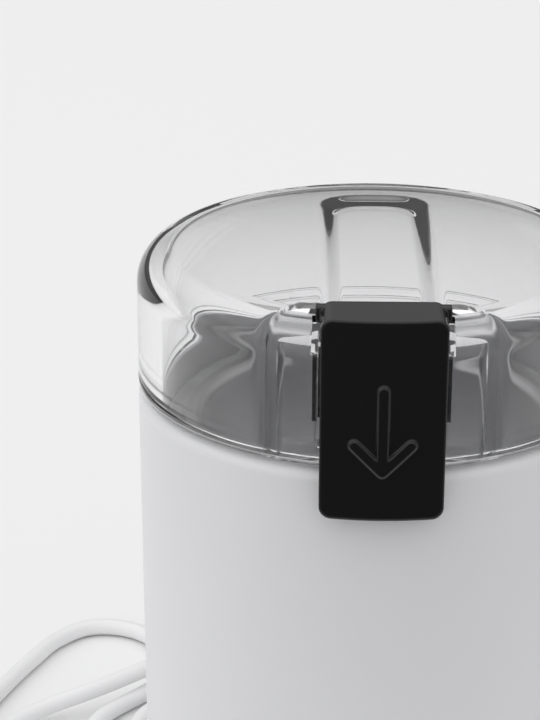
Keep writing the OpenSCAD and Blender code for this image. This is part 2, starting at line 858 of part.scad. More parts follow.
module lower_bracket() {
    arm_x = bolt_x + 10;
    color("lightgray")
        difference() {
            union() {
                translate([0, 0, lower_plate_z])
                    cylinder(r = 13, h = plate_t);
                translate([-bolt_x - post_r - 1, -8, lower_plate_z])
                    cube([bolt_x + post_r + 1 + arm_x, 16, plate_t]);
                translate([-6, -holder_y - holder_l, lower_plate_z])
                    cube([12, 2 * (holder_y + holder_l), plate_t]);
                translate([0, 0, lower_plate_z - lower_hub_h])
                    cylinder(r = bearing_seat_r, h = lower_hub_h + 1);
                for (s = [-1, 1])
                    translate([s * bolt_x, 0, lower_plate_z])
                        cylinder(r = post_r, h = stack_z - lower_plate_z);
            }
            translate([0, 0, lower_plate_z - lower_hub_h - cut])
                cylinder(r = bearing_r + seat, h = bearing_h + cut);
            translate([0, 0, lower_plate_z])
                cylinder(r = shaft_d / 2 + 1, h = plate_t + cut);
            for (s = [-1, 1])
                translate([s * bolt_x, 0, lower_plate_z - cut])
                    cylinder(r = bolt_r + seat, h = stack_z);
        }
}

module motor_mounts() {
    color("black")
        at_angles(boss_angles, boss_at_r)
            ring(boss_r, base_screw_r + clear, motor_mount_t, upper_plate_z + plate_t);
}

module bracket_screws() {
    color("silver")
        at_angles(boss_angles, boss_at_r)
            translate([0, 0, upper_plate_z])
                screw(base_screw_r, plate_t + motor_mount_t + screw_grip, 3, 2);
}

module motor_bolts() {
    color("silver")
        for (s = [-1, 1])
            translate([s * bolt_x, 0, lower_plate_z])
                screw(bolt_r, upper_plate_z + plate_t - lower_plate_z, 3.4, 2.4);
}

// Outline of one stator lamination, with two poles and a window beside each
module lamination() {
    difference() {
        intersection() {
            round_rect(stator_w, stator_d, 5);
            circle(r = stator_r);
        }
        circle(r = bore_r);
        for (sx = [-1, 1], sy = [-1, 1])
            translate([sx * (window_r + coil_w / 2), sy * (pole_neck / 2 + coil_t / 2)])
                square([coil_w + 0.4, coil_t + 0.4], center = true);
        for (sy = [-1, 1])
            translate([0, sy * bore_r])
                round_rect(16, 5, 2);
        for (s = [-1, 1])
            translate([s * bolt_x, 0])
                circle(r = bolt_r + seat, $fn = 32);
    }
}

module motor_stator() {
    color("slategray")
        translate([0, 0, stack_z])
            linear_extrude(stack_h)
                lamination();
}

module field_coils() {
    color("peru")
        for (s = [-1, 1])
            translate([s * (window_r + coil_w / 2) - coil_w / 2, 0, stack_mid_z])
                rotate([90, 0, 90])
                    linear_extrude(coil_w)
                        difference() {
                            round_rect(pole_neck + 2 * coil_t, stack_h + 2 * coil_over, 4);
                            round_rect(pole_neck + 0.4, stack_h + 0.4, 0.8);
                        }
}

module bearing(z) {
    color("goldenrod")
        ring(bearing_r, shaft_d / 2 + fit, bearing_h - 0.4, z);
}

module upper_bearing() {
    bearing(upper_plate_z - upper_seat_drop);
}

module lower_bearing() {
    bearing(lower_plate_z - lower_hub_h);
}

// A square brass tube for one brush, closed by a cap at its outer end
module brush_holder() {
    w = brush_w + 2 * holder_wall;
    h = brush_h + 2 * holder_wall + 2 * fit;
    difference() {
        translate([holder_y, -w / 2, brush_z - h / 2])
            cube([holder_l, w, h]);
        translate([holder_y - cut, -brush_w / 2 - fit, brush_z - brush_h / 2 - fit])
            cube([holder_l - holder_wall + cut, brush_w + 2 * fit, brush_h + 2 * fit]);
    }
}

module brush_holders() {
    color("goldenrod")
        at_angles([90, 270], 0)
            brush_holder();
}

module carbon_brushes() {
    color("dimgray")
        at_angles([90, 270], 0)
            difference() {
                translate([commutator_d / 2 - 1, -brush_w / 2, brush_z - brush_h / 2])
                    cube([brush_l + 1, brush_w, brush_h]);
                cylinder(r = commutator_d / 2 + brush_gap, h = body_h);
            }
}

module brush_springs() {
    from = commutator_d / 2 + brush_l;
    to = holder_y + holder_l - holder_wall;
    color("silver")
        at_angles([90, 270], from)
            translate([0, 0, brush_z])
                rotate([0, 90, 0])
                    spring(1.8, 0.3, to - from, 4, 10);
}

module suppression_capacitor() {
    color("gold")
        translate([bolt_x + post_r + 3, 0, lower_plate_z + plate_t])
            linear_extrude(13)
                round_rect(5.4, 12, 1);
}

module drive_shaft() {
    color("silver") {
        translate([0, 0, shaft_low_z])
            cylinder(r = shaft_d / 2, h = blade_z - shaft_low_z);
        translate([0, 0, blade_z - cut])
            cylinder(r = thread_r, h = shaft_top_z - blade_z + cut);
    }
}

module armature_core() {
    r = armature_d / 2;
    color("slategray")
        difference() {
            ring(r, shaft_d / 2 + seat, stack_h, stack_z);
            around(armature_slots)
                translate([r - 3, 0, stack_z - cut]) {
                    cylinder(r = 1.7, h = stack_h + 2 * cut, $fn = 32);
                    translate([0, -0.6, 0])
                        cube([4, 1.2, stack_h + 2 * cut]);
                }
        }
}

// The end turns of the winding, one rounded collar at each end of the core
module armature_windings() {
    color("peru")
        for (z = [stack_z - winding_h, stack_z + stack_h])
            rotate_extrude()
                translate([(armature_d / 2 - 1.6 + shaft_d / 2 + 1) / 2, z + winding_h / 2])
                    round_rect(armature_d / 2 - 1.6 - shaft_d / 2 - 1, winding_h, 2.4);
}

module commutator() {
    r = commutator_d / 2;
    color("darkgoldenrod")
        difference() {
            union() {
                ring(r, shaft_d / 2 + seat, commutator_h, commutator_z);
                ring(r + 1, shaft_d / 2 + seat, 2, commutator_z + commutator_h - 2);
            }
            around(commutator_bars)
                translate([r - 0.7, -0.2, commutator_z - cut])
                    cube([3, 0.4, commutator_h + 2 * cut]);
        }
}

// One fan blade, leant back from the radius, from inside the hub to just short of the rim
module fan_vane() {
    vane_t = 1.4;
    lean = 14;
    root_x = fan_hub_r - 1.8;
    translate([root_x, 0, fan_z])
        rotate(lean)
            translate([0, -vane_t / 2, 0])
                cube([fan_d / 2 - root_x - 1.2, vane_t, fan_h - 0.7]);
}

module cooling_fan() {
    color("ivory")
        difference() {
            union() {
                translate([0, 0, fan_z + fan_h - 1.4])
                    cylinder(r = fan_d / 2, h = 1.4);
                translate([0, 0, fan_z])
                    cylinder(r = fan_hub_r, h = fan_h);
                around(fan_blades)
                    fan_vane();
            }
            translate([0, 0, fan_z - cut])
                cylinder(r = shaft_d / 2 + seat, h = fan_h + 2 * cut);
        }
}

// ---- Switch ----

module switch_plunger() {
    color("ivory")
        translate([0, plunger_y, 0]) {
            translate([0, 0, foot_z])
                cylinder(r = rod_r, h = plunger_top_z - foot_z);
            translate([0, 0, collar_z])
                cylinder(r = collar_r, h = collar_t);
            translate([-foot_half_w, -rod_r, foot_z])
                cube([2 * foot_half_w, foot_in_y - plunger_y + rod_r, foot_t]);
        }
}

module plunger_spring() {
    color("silver")
        translate([0, plunger_y, guide_z + guide_t])
            spring(rod_r + 0.75, 0.3, collar_z - guide_z - guide_t, 7);
}

module switch_holder() {
    plate_y = switch_y - switch_w / 2 - holder_t;
    low = switch_top_z - switch_h;
    color("dimgray")
        difference() {
            union() {
                intersection() {
                    translate([pivot_x, plate_y, low])
                        cube([12, holder_t, guide_z + guide_t - low]);
                    cylinder(r = inner_r(low) - clear, h = body_h);
                }
                intersection() {
                    translate([pivot_x, plunger_y - rod_bore_r - holder_t, guide_z])
                        cube([4 - pivot_x, 2 * (rod_bore_r + holder_t), guide_t]);
                    cylinder(r = inner_r(guide_z) - clear, h = body_h);
                }
                intersection() {
                    translate([pivot_x - 2, plate_y, low - holder_t])
                        cube([2 - pivot_x, switch_w + holder_t, holder_t]);
                    cylinder(r = inner_r(low) - clear, h = body_h);
                }
            }
            translate([0, plunger_y, guide_z - cut])
                cylinder(r = rod_bore_r, h = guide_t + 2 * cut);
        }
}

module microswitch() {
    color("black")
        translate([pivot_x - 2, switch_y - switch_w / 2, switch_top_z - switch_h])
            difference() {
                cube([switch_l, switch_w, switch_h]);
                for (x = [4.5, switch_l - 4.5])
                    translate([x, -cut, 2.5])
                        rotate([-90, 0, 0])
                            cylinder(r = 1.2, h = switch_w + 2 * cut, $fn = 32);
            }
}

module switch_terminals() {
    color("silver")
        for (x = [1, 8, 14])
            translate([pivot_x + x, switch_y - 0.4, terminal_z])
                difference() {
                    cube([2.4, 0.8, terminal_l]);
                    translate([1.2, -cut, 1.6])
                        rotate([-90, 0, 0])
                            cylinder(r = 0.6, h = 3, $fn = 24);
                }
}

module switch_lever() {
    color("silver")
        translate([pivot_x, switch_y - lever_w / 2, pivot_z])
            rotate([0, -lever_rest, 0]) {
                cube([lever_l, lever_w, lever_t]);
                rotate([-90, 0, 0])
                    cylinder(r = 0.6, h = lever_w, $fn = 32);
            }
}

// ---- Lid and button ----

// Cuts its children to the vertical band that a rounded front outline leaves
module front_outline(w, low, high, r) {
    intersection() {
        children();
        translate([0, 0, (low + high) / 2])
            rotate([90, 0, 0])
                linear_extrude(2 * body_top_d, center = true)
                    round_rect(w, high - low, r);
    }
}

module groove_tool() {
    floor_z = lid_top_z - groove_depth - 0.3;
    front = -button_back_y + 6;
    mid_y = (groove_reach - front) / 2;
    hull() {
        translate([0, mid_y, floor_z])
            linear_extrude(0.01)
                round_rect(groove_w, groove_reach + front, 3, $fn = 32);
        translate([0, mid_y, lid_top_z + 1])
            linear_extrude(0.01)
                round_rect(groove_w + 3.6, groove_reach + front + 4, 4.4, $fn = 32);
    }
}

// The lid's turned form: domed top, thick wall, lip above the shadow gap and plug-in skirt
module lid_half() {
    difference() {
        union() {
            domed_half(body_r, lid_low_z, dome_r, lid_edge_r);
            translate([0, shelf_z])
                square([skirt_r, lid_low_z - shelf_z + cut]);
        }
        domed_half(lid_in_r, shelf_z - cut, dome_r - lid_top_t, lid_corner_r);
        translate([body_r, lid_low_z + lid_lip_h])
            circle(r = lid_line_w / 2, $fn = 24);
    }
}

// The wall round the button's pocket, seen from above
module pocket_outline(grow) {
    back = pocket_back_y + grow;
    translate([0, back - 30])
        round_rect(2 * (pocket_half_w + grow), 60, 1.6 + grow);
}

module clear_lid() {
    pocket_low_z = flange_z + bowl_t + 0.8;
    color("gainsboro", 0.4)
        difference() {
            union() {
                rotate_extrude($fn = fine_fn)
                    lid_half();
                intersection() {
                    union() {
                        translate([0, 0, pocket_low_z])
                            linear_extrude(lid_h + lid_seat_depth)
                                pocket_outline(pocket_wall);
                        pocket_block(pocket_low_z + 6);
                    }
                    rotate_extrude($fn = fine_fn)
                        domed_half(lid_in_r + skirt_t / 2, pocket_low_z - 2, dome_r - lid_top_t / 2,
                                   lid_corner_r + 1);
                }
            }
            intersection() {
                translate([0, 0, pocket_low_z - cut])
                    linear_extrude(lid_h + lid_seat_depth)
                        pocket_outline(0);
                rotate_extrude($fn = fine_fn)
                    domed_half(lid_in_r, pocket_low_z - 2 * cut, dome_r - lid_top_t, lid_corner_r);
            }
            groove_tool();
            translate([-slot_half_w, -body_top_d, sill_z])
                cube([2 * slot_half_w, body_top_d + button_back_y + clear, lid_h]);
            translate([-slot_half_w - tab_w, button_back_y - tab_d - 2 * clear,
                       button_top_z - tab_drop - tab_h - button_travel - 2 * clear])
                cube([2 * (slot_half_w + tab_w), tab_d + 3 * clear, lid_h]);
        }
}

// The solid block round the pocket, with its lower and rear edges rounded
module pocket_block(low) {
    r = block_edge_r;
    x = block_w / 2 - r;
    y = pocket_back_y + pocket_wall - r;
    reach = body_top_d;
    translate([0, y, low + r]) {
        translate([-x - r, -reach, 0])
            cube([2 * (x + r), reach, lid_h]);
        translate([-x, -reach, -r])
            cube([2 * x, reach, lid_h]);
        translate([-x, -cut, 0])
            cube([2 * x, r + cut, lid_h]);
        rotate([0, 90, 0])
            cylinder(r = r, h = 2 * x, center = true);
        for (s = [-1, 1])
            translate([s * x, 0, 0]) {
                cylinder(r = r, h = lid_h);
                sphere(r = r);
                rotate([90, 0, 0])
                    cylinder(r = r, h = reach);
            }
    }
}

// A ring segment of the button's face
module face_band(outer, inner) {
    difference() {
        cylinder(r = outer, h = lid_top_z * 2, $fn = fine_fn);
        translate([0, 0, -cut])
            cylinder(r = inner, h = lid_top_z * 2 + 2 * cut, $fn = fine_fn);
        translate([-body_top_d, 0, -cut])
            cube([2 * body_top_d, body_top_d, lid_top_z * 2 + 2 * cut]);
    }
}

module button_shell() {
    front_in = button_face_r - button_face_t;
    side_in = button_w / 2 - button_side_t;
    front_outline(button_w, button_low_z, button_top_z, button_corner_r)
        difference() {
            union() {
                face_band(button_face_r, front_in);
                for (s = [-1, 1])
                    translate([s * (side_in + button_side_t / 2) - button_side_t / 2, 0, 0])
                        intersection() {
                            translate([0, -button_face_r, button_low_z])
                                cube([button_side_t, button_face_r, lid_h * 3]);
                            translate([-s * (side_in + button_side_t / 2) + button_side_t / 2, 0, 0])
                                face_band(button_face_r - 0.5, body_r + 0.5);
                        }
                translate([-button_w / 2, button_back_y - button_face_r + lid_in_r - 1.6, button_top_z - 2.2])
                    cube([button_w, button_face_r - lid_in_r + 1.6, 2.2]);
            }
            translate([-body_r, -body_top_d, button_low_z - cut])
                difference() {
                    cube([body_top_d, body_top_d, body_top_d]);
                    translate([body_r, body_top_d, -cut])
                        cylinder(r = button_face_r, h = body_top_d * 2, $fn = fine_fn);
                }
        }
}

module push_button() {
    side_in = button_w / 2 - button_side_t;
    slide_top = ceiling_z - 5.6;
    color("black") {
        button_shell();
        for (s = [-1, 1])
            translate([s * (side_in + button_side_t / 2) - button_side_t / 2, -body_r - 0.7, slide_low_z])
                cube([button_side_t, body_r + 0.7 + carrier_y + carrier_t, slide_top - slide_low_z]);
        for (s = [-1, 1])
            translate([s * (side_in + button_side_t / 2) - button_side_t / 2, -body_r - 0.7, slide_low_z])
                cube([button_side_t, body_r + 0.7 + button_back_y, button_top_z - 1 - slide_low_z]);
        translate([-carrier_half_w, carrier_y, slide_low_z - 2])
            cube([2 * carrier_half_w, carrier_t, slide_top - slide_low_z + 2]);
        translate([-button_w / 2 - tab_w + clear, button_back_y - tab_d, button_top_z - tab_drop - tab_h])
            cube([button_w + 2 * (tab_w - clear), tab_d, tab_h]);
        translate([0, plunger_y, leg_low_z])
            cylinder(r = leg_r, h = slide_low_z + 6 - leg_low_z);
        translate([-1.2, plunger_y, slide_low_z])
            cube([2.4, carrier_y - plunger_y + carrier_t / 2, 6]);
        arrow();
    }
}

// The raised arrow, which points down the button's curved face
module arrow() {
    intersection() {
        face_band(button_face_r + arrow_h, button_face_r - 0.6);
        translate([0, 0, arrow_mid_z])
            rotate([90, 0, 0])
                linear_extrude(body_top_d)
                    arrow_outline();
    }
}

module arrow_outline() {
    tip = -arrow_l / 2;
    translate([-arrow_w / 2, tip + arrow_w / 2])
        square([arrow_w, arrow_l - arrow_w]);
    translate([0, arrow_l / 2 - arrow_w / 2])
        circle(d = arrow_w, $fn = 32);
    for (s = [-1, 1])
        translate([0, tip + arrow_w / 2])
            rotate(45 * s)
                translate([-arrow_w / 2, 0]) {
                    square([arrow_w, arrow_head * 0.75]);
                    translate([arrow_w / 2, arrow_head * 0.75])
                        circle(d = arrow_w, $fn = 32);
                    translate([arrow_w / 2, 0])
                        circle(d = arrow_w, $fn = 32);
                }
}

module button_spring() {
    color("silver")
        translate([0, -(lid_in_r + lid_wall / 2), sill_z])
            spring(1.6, 0.25, button_top_z - 2.2 - sill_z, 9, 10);
}

// ---- Mains cord ----

// The tapered boot round the cord, ribbed outside and flanged inside the wall
module strain_relief() {
    ribs = 7;
    outer_y = outer_r(cord_exit_h) + clear;
    pitch = (relief_end_y - outer_y) / (ribs + 1);
    inner_y = relief_pad_y - relief_flange_t;
    color("white")
        translate([0, 0, cord_exit_h])
            rotate([-90, 0, 0])
                difference() {
                    rotate_extrude()
                        polygon([
                            [cord_r + seat, inner_y],
                            [relief_flange_r, inner_y],
                            [relief_flange_r, relief_pad_y],
                            [relief_root_r, relief_pad_y],
                            [relief_root_r, outer_y + 2],
                            [relief_tip_r, relief_end_y],
                            [cord_r + seat, relief_end_y]
                        ]);
                    for (i = [1 : ribs])
                        translate([0, 0, outer_y + 1 + i * pitch - 0.5])
                            ring(relief_root_r + cut, cord_r + 0.8, 1);
                }
}

module cord_clamp() {
    color("ivory")
        difference() {
            translate([-clamp_x - 3.4, clamp_y - clamp_w / 2, cord_exit_h])
                cube([2 * clamp_x + 6.8, clamp_w, 4.6]);
            translate([0, clamp_y - clamp_w, cord_exit_h])
                rotate([-90, 0, 0])
                    cylinder(r = cord_r + seat, h = 2 * clamp_w);
            for (s = [-1, 1])
                translate([s * clamp_x, clamp_y, cord_exit_h - cut])
                    cylinder(r = 1.3, h = 8);
        }
}

module clamp_screws() {
    color("silver")
        for (s = [-1, 1])
            translate([s * clamp_x, clamp_y, cord_exit_h + 4.6])
                mirror([0, 0, 1])
                    screw(1, 11, 2.2, 1.6);
}

module terminal_block() {
    color("ivory")
        translate([block_at.x, block_at.y, plate_low_z + base_t])
            rotate(block_turn)
                difference() {
                    translate([-8, -3.5, 0])
                        cube([16, 7, 9]);
                    for (x = [-4, 4])
                        translate([x, 0, 4])
                            cylinder(r = 1.8, h = 6, $fn = 32);
                    translate([-1, -4, 5])
                        cube([2, 8, 5]);
                }
}

// The cord's inner end and the two leads that run from the terminal block
module supply_leads() {
    tail_y = clamp_y - 7;
    color("gainsboro") {
        translate([0, tail_y, cord_exit_h])
            rotate([-90, 0, 0])
                cylinder(r = cord_r, h = relief_end_y - tail_y);
        for (lead = [switch_lead, brush_lead, cord_core])
            tube(smooth_line(lead, 8), 0.9, 6);
    }
}

module power_cord() {
    color("white")
        tube(smooth_line(cord_route, cord_ring_step), cord_r, cord_sides);
}

// Seen from above: a broad face for the pins, narrowing to the neck
module plug_outline() {
    neck_w = 11;
    round_to = 3;
    difference() {
        polygon([
            [0, -neck_w / 2],
            [plug_l * 0.42, -plug_w / 2 + round_to],
            [plug_l * 0.55, -plug_w / 2],
            [plug_l, -plug_w / 2],
            [plug_l, plug_w / 2],
            [plug_l * 0.55, plug_w / 2],
            [plug_l * 0.42, plug_w / 2 - round_to],
            [0, neck_w / 2]
        ]);
        for (s = [-1, 1])
            translate([plug_l * 0.2, s * (plug_w / 2 + 16)])
                circle(r = 18.5);
    }
}

module plug_body() {
    start = plug_neck_l;
    color("white")
        translate(plug_at) rotate(-90) {
            intersection() {
                translate([start, 0, -plug_t / 2])
                    linear_extrude(plug_t)
                        plug_outline();
                translate([start + plug_l / 2, 0, 0])
                    rotate([90, 0, 0])
                        linear_extrude(plug_w + 2 * cut, center = true)
                            round_rect(plug_l, plug_t, 2.5);
                translate([start + plug_l / 2, 0, 0])
                    rotate([90, 0, 90])
                        linear_extrude(plug_l + 2 * cut, center = true)
                            round_rect(plug_w, plug_t, 4);
            }
            rotate([0, 90, 0])
                cylinder(r1 = cord_r + 0.9, r2 = 4.6, h = start + 2);
        }
}

module plug_pins() {
    color("silver")
        for (s = [-1, 1])
            translate([plug_at.x + s * pin_pitch / 2, plug_at.y - plug_neck_l - plug_l, plug_at.z])
                rotate([90, 0, 0]) {
                    cylinder(d = pin_d, h = pin_l - pin_d / 2);
                    translate([0, 0, pin_l - pin_d / 2])
                        sphere(d = pin_d, $fn = 48);
                }
}

housing();
grinding_bowl();
bowl_gasket();
shaft_seal();
base_plate();
foot_ring();
base_screws();
upper_bracket();
lower_bracket();
motor_mounts();
bracket_screws();
motor_bolts();
motor_stator();
field_coils();
upper_bearing();
lower_bearing();
brush_holders();
brush_springs();
carbon_brushes();
suppression_capacitor();
microswitch();
switch_terminals();
switch_lever();
switch_holder();
switch_plunger();
plunger_spring();
drive_shaft();
armature_core();
armature_windings();
commutator();
cooling_fan();
blade_hub();
blade();
blade_nut();
clear_lid();
push_button();
button_spring();
strain_relief();
cord_clamp();
clamp_screws();
terminal_block();
supply_leads();
power_cord();
plug_body();
plug_pins();
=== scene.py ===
import json

import bpy
import numpy as np
from mathutils import Matrix, Vector


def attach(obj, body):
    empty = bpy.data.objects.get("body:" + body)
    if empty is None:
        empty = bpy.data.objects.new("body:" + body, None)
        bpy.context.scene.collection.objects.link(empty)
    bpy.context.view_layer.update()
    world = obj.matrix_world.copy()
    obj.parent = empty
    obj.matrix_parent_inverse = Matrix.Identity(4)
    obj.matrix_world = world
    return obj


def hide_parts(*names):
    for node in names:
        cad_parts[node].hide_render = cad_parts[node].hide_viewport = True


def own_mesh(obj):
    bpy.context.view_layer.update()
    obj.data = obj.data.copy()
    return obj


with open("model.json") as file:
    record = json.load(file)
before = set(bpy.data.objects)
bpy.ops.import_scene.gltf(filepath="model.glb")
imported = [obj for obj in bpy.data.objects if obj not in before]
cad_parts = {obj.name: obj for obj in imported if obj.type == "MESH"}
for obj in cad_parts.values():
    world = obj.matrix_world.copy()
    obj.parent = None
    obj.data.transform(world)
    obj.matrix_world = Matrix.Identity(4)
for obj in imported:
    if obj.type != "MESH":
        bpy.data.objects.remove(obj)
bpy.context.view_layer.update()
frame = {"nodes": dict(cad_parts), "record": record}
nodes = frame["nodes"]
scene = bpy.context.scene
scene.view_settings.view_transform = "Standard"
print("loaded", len(nodes), "nodes")


# ---- camera

cameraSetup = {
    "place": (-0.01463, -0.4029, 0.30258),
    "ahead": (-0.0112, 0.9327, -0.3605),
    "up": (-0.0086, 0.3604, 0.9328),
    "lens": 115.6,  # for a picture 36 mm high on the sensor
}


def makeCamera(setup):
    data = bpy.data.cameras.new("camera")
    data.sensor_fit = "VERTICAL"
    data.sensor_height = 36
    data.lens = setup["lens"]
    data.clip_start, data.clip_end = 0.01, 20
    back = -Vector(setup["ahead"]).normalized()
    side = Vector(setup["up"]).cross(back).normalized()
    turn = Matrix((side, back.cross(side), back)).transposed().to_4x4()
    obj = bpy.data.objects.new("camera", data)
    obj.matrix_world = Matrix.Translation(setup["place"]) @ turn
    scene.collection.objects.link(obj)
    scene.camera = obj


makeCamera(cameraSetup)


# ---- shader helpers

class Value:
    # a number on its way through a shader: + - * add their own Math nodes
    def __init__(self, paint, socket):
        self.paint, self.socket = paint, socket

    def math(self, operation, other, flip=False):
        first, second = (other, self) if flip else (self, other)
        return self.paint.add("Math", {"operation": operation}, {0: first, 1: second})[0]

    def __add__(self, other):
        return self.math("ADD", other)

    def __sub__(self, other):
        return self.math("SUBTRACT", other)

    def __rsub__(self, other):
        return self.math("SUBTRACT", other, True)

    def __mul__(self, other):
        return self.math("MULTIPLY", other)

    def __neg__(self):
        return self.math("MULTIPLY", -1)

    def __abs__(self):
        return self.math("ABSOLUTE", 0.0)

    def atLeast(self, low):
        return self.math("MAXIMUM", low)

    __radd__ = __add__
    __rmul__ = __mul__


class Paint:
    # one material, with its Principled shader and a way to add any other node; or the nodes of a world
    def __init__(self, name, world=None, **constants):
        self.material = world or bpy.data.materials.new(name)
        self.material.use_nodes = True
        self.tree = self.material.node_tree
        self.shader = self.tree.nodes.get("Principled BSDF")
        for key, value in constants.items():
            self.set(key.replace("_", " "), value)

    def set(self, name, value):
        self.feed(self.shader.inputs[name], value)
        return self

    def feed(self, socket, value):
        if isinstance(value, Value):
            self.tree.links.new(value.socket, socket)
        elif isinstance(value, (tuple, list)) and len(value) == 3 and len(socket.default_value) == 4:
            socket.default_value = (*value, 1)
        else:
            socket.default_value = value

    def add(self, kind, settings={}, sockets={}):
        node = self.tree.nodes.new("ShaderNode" + kind)
        for key, value in settings.items():
            setattr(node, key, value)
        for key, value in sockets.items():
            self.feed(node.inputs[key], value)
        return [Value(self, out) for out in node.outputs]

    def place(self, scale=(1, 1, 1), turn=(0, 0, 0)):
        at = self.add("TexCoord")[3]
        return self.add("Mapping", {}, {"Vector": at, "Scale": scale, "Rotation": turn})[0]

    def noise(self, scale, detail=3, rough=0.5, at=None):
        return self.add("TexNoise", {}, {"Vector": at or self.place(), "Scale": scale,
                                         "Detail": detail, "Roughness": rough})[0]

    def height(self):
        return self.add("SeparateXYZ", {}, {0: self.place()})[2]

    def ramp(self, value, low, high, toLow=0.0, toHigh=1.0):
        return self.add("MapRange", {"clamp": True}, {"Value": value, "From Min": low, "From Max": high,
                                                      "To Min": toLow, "To Max": toHigh})[0]

    def mix(self, share, first, second):
        node = self.tree.nodes.new("ShaderNodeMix")
        node.data_type = "RGBA"
        self.feed(node.inputs[0], share)
        self.feed(node.inputs[6], first)
        self.feed(node.inputs[7], second)
        return Value(self, node.outputs[2])

    def bump(self, height, strength, distance=0.0002, edge=None):
        # edge rounds sharp corners in the shading, to that radius in metres
        sockets = {"Height": height, "Strength": strength, "Distance": distance}
        if edge:
            sockets["Normal"] = self.add("Bevel", {"samples": 8}, {"Radius": edge})[0]
        return self.set("Normal", self.add("Bump", {}, sockets)[0])


def linear(red, green, blue):
    # a colour as it is seen, from 0 to 255, as the shader wants it
    return tuple(((c / 255 + 0.055) / 1.055) ** 2.4 if c > 10 else c / 255 / 12.92
                 for c in (red, green, blue))


# ---- the mains cord

cordSetup = {
    "diameter": 0.0044,
    "route": [  # millimetres, from the strain relief to the plug
        (0, 70.966, 14), (0, 81, 14), (-1, 93, 10), (-7, 107, 4.4),
        (-20, 121, 2.4), (-37, 128, 2.4), (-50, 123, 2.4), (-55.5, 110, 2.4), (-56, 80, 2.4),
        (-62.5, 64, 2.4), (-78.5, 57.5, 2.4), (-94.5, 64, 2.4), (-101, 80, 2.4), (-99, 105, 2.4),
        (-92, 130, 2.4), (-85, 148, 2.4), (-79, 160, 2.4), (-71, 167, 2.4), (-61, 166.5, 2.4),
        (-52, 159, 2.4), (-48, 148, 2.4), (-50, 137, 2.4), (-64, 117, 2.4), (-68, 101, 2.4),
        (-67, 86, 2.4), (-71.5, 75.5, 2.4), (-81.5, 71, 2.4), (-91.5, 75, 2.4), (-96, 85, 2.4),
        (-93.5, 103, 2.4), (-81, 118, 3.6), (-66, 124.5, 6.8), (-39, 145, 7.2), (-18, 155, 3.4),
        (5, 159, 2.4), (25, 153, 3), (34, 139, 4.8), (34, 123, 7), (34, 110, 7),
    ],
}


def makeCord(setup):
    # each point's direction is the mean of its two chords, the nearer one counting more
    points = np.array(setup["route"]) / 1000
    gap = np.linalg.norm(np.diff(points, axis=0), axis=1)
    chord = np.diff(points, axis=0) / gap[:, None]
    way = np.empty_like(points)
    way[0], way[-1] = chord[0], chord[-1]
    way[1:-1] = chord[:-1] * gap[1:, None] + chord[1:] * gap[:-1, None]
    way /= np.linalg.norm(way, axis=1)[:, None]
    # points on an arc give the arc
    pull = gap * 2 / (1 + np.sqrt((1 + (way[:-1] * way[1:]).sum(1)) / 2)) / 3
    before, after = np.r_[pull[:1], pull], np.r_[pull, pull[-1:]]
    curve = bpy.data.curves.new("cord", "CURVE")
    curve.dimensions = "3D"
    curve.bevel_depth = 1  # times each point's radius
    curve.bevel_resolution = 5
    curve.resolution_u = 12
    curve.use_fill_caps = True
    line = curve.splines.new("BEZIER")
    line.bezier_points.add(len(points) - 1)
    for handle in ("handle_left_type", "handle_right_type"):
        for point in line.bezier_points:
            setattr(point, handle, "FREE")
    line.bezier_points.foreach_set("radius", np.full(len(points), setup["diameter"] / 2))
    line.bezier_points.foreach_set("co", points.ravel())
    line.bezier_points.foreach_set("handle_left", (points - way * before[:, None]).ravel())
    line.bezier_points.foreach_set("handle_right", (points + way * after[:, None]).ravel())
    obj = bpy.data.objects.new("cord", curve)
    scene.collection.objects.link(obj)
    # the length is measured along points of each Bezier stretch
    steps = np.linspace(0, 1, 24)[:, None]
    rest = 1 - steps
    a, b = points[:-1, None], (points + way * after[:, None])[:-1, None]
    c, d = (points - way * before[:, None])[1:, None], points[1:, None]
    run = (a * rest ** 3 + 3 * b * steps * rest ** 2
           + 3 * c * steps ** 2 * rest + d * steps ** 3)
    length = np.linalg.norm(np.diff(run.reshape(-1, 3), axis=0), axis=1).sum()
    return obj, float(length)


cord, cordLength = makeCord(cordSetup)
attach(cord, "base")
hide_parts("power_cord")
print("cord", round(cordLength, 3), "m")


# ---- the clear lid

lidShape = {
    # millimetres; heights are above the table
    "across": 88.0, "top": 172.0, "low": 144.2, "foot": 137.0,
    "wall": 4.4, "roof": 3.2, "skirt": 1.5,
    "rise": 2.0,  # of the dome, from its edge to the axis
    "edge": 6.8, "corner": 3.4,  # radii of the corner between wall and dome, outside and inside
    "grooveHalf": 8.7, "grooveDepth": 0.95, "grooveEnd": 24.0, "grooveRound": 9.0, "grooveEase": 0.48,
    "blockHalf": 19.1, "blockBack": 32.57, "blockLow": 141.5, "blockSoft": 0.8,
    "pocketHalf": 17.2, "pocketBack": 34.47, "pocketTop": 164.0, "pocketCorner": 1.4, "pocketSkin": 0.12,
    "slotHalf": 10.9, "sill": 147.5, "slotBack": 37.7,
    "tabHalf": 12.0, "tabLow": 163.6, "tabDeep": 40.6,
    "front": -60.0, "above": 190.0,  # where the cutters end, clear of the lid
}
lidAround = 520
frontShare = 0.4  # how much closer the points lie at the front, where the block is


def ease(share):
    # from 0 to 1 without a corner at either end
    share = np.clip(share, 0, 1)
    return share ** 2 * (3 - 2 * share)


def softStep(value, soft):
    # from 0 below the edge to 1 above it, over about the soft distance
    return 1 / (1 + np.exp(np.clip(-value / soft * 2.2, -40, 40)))


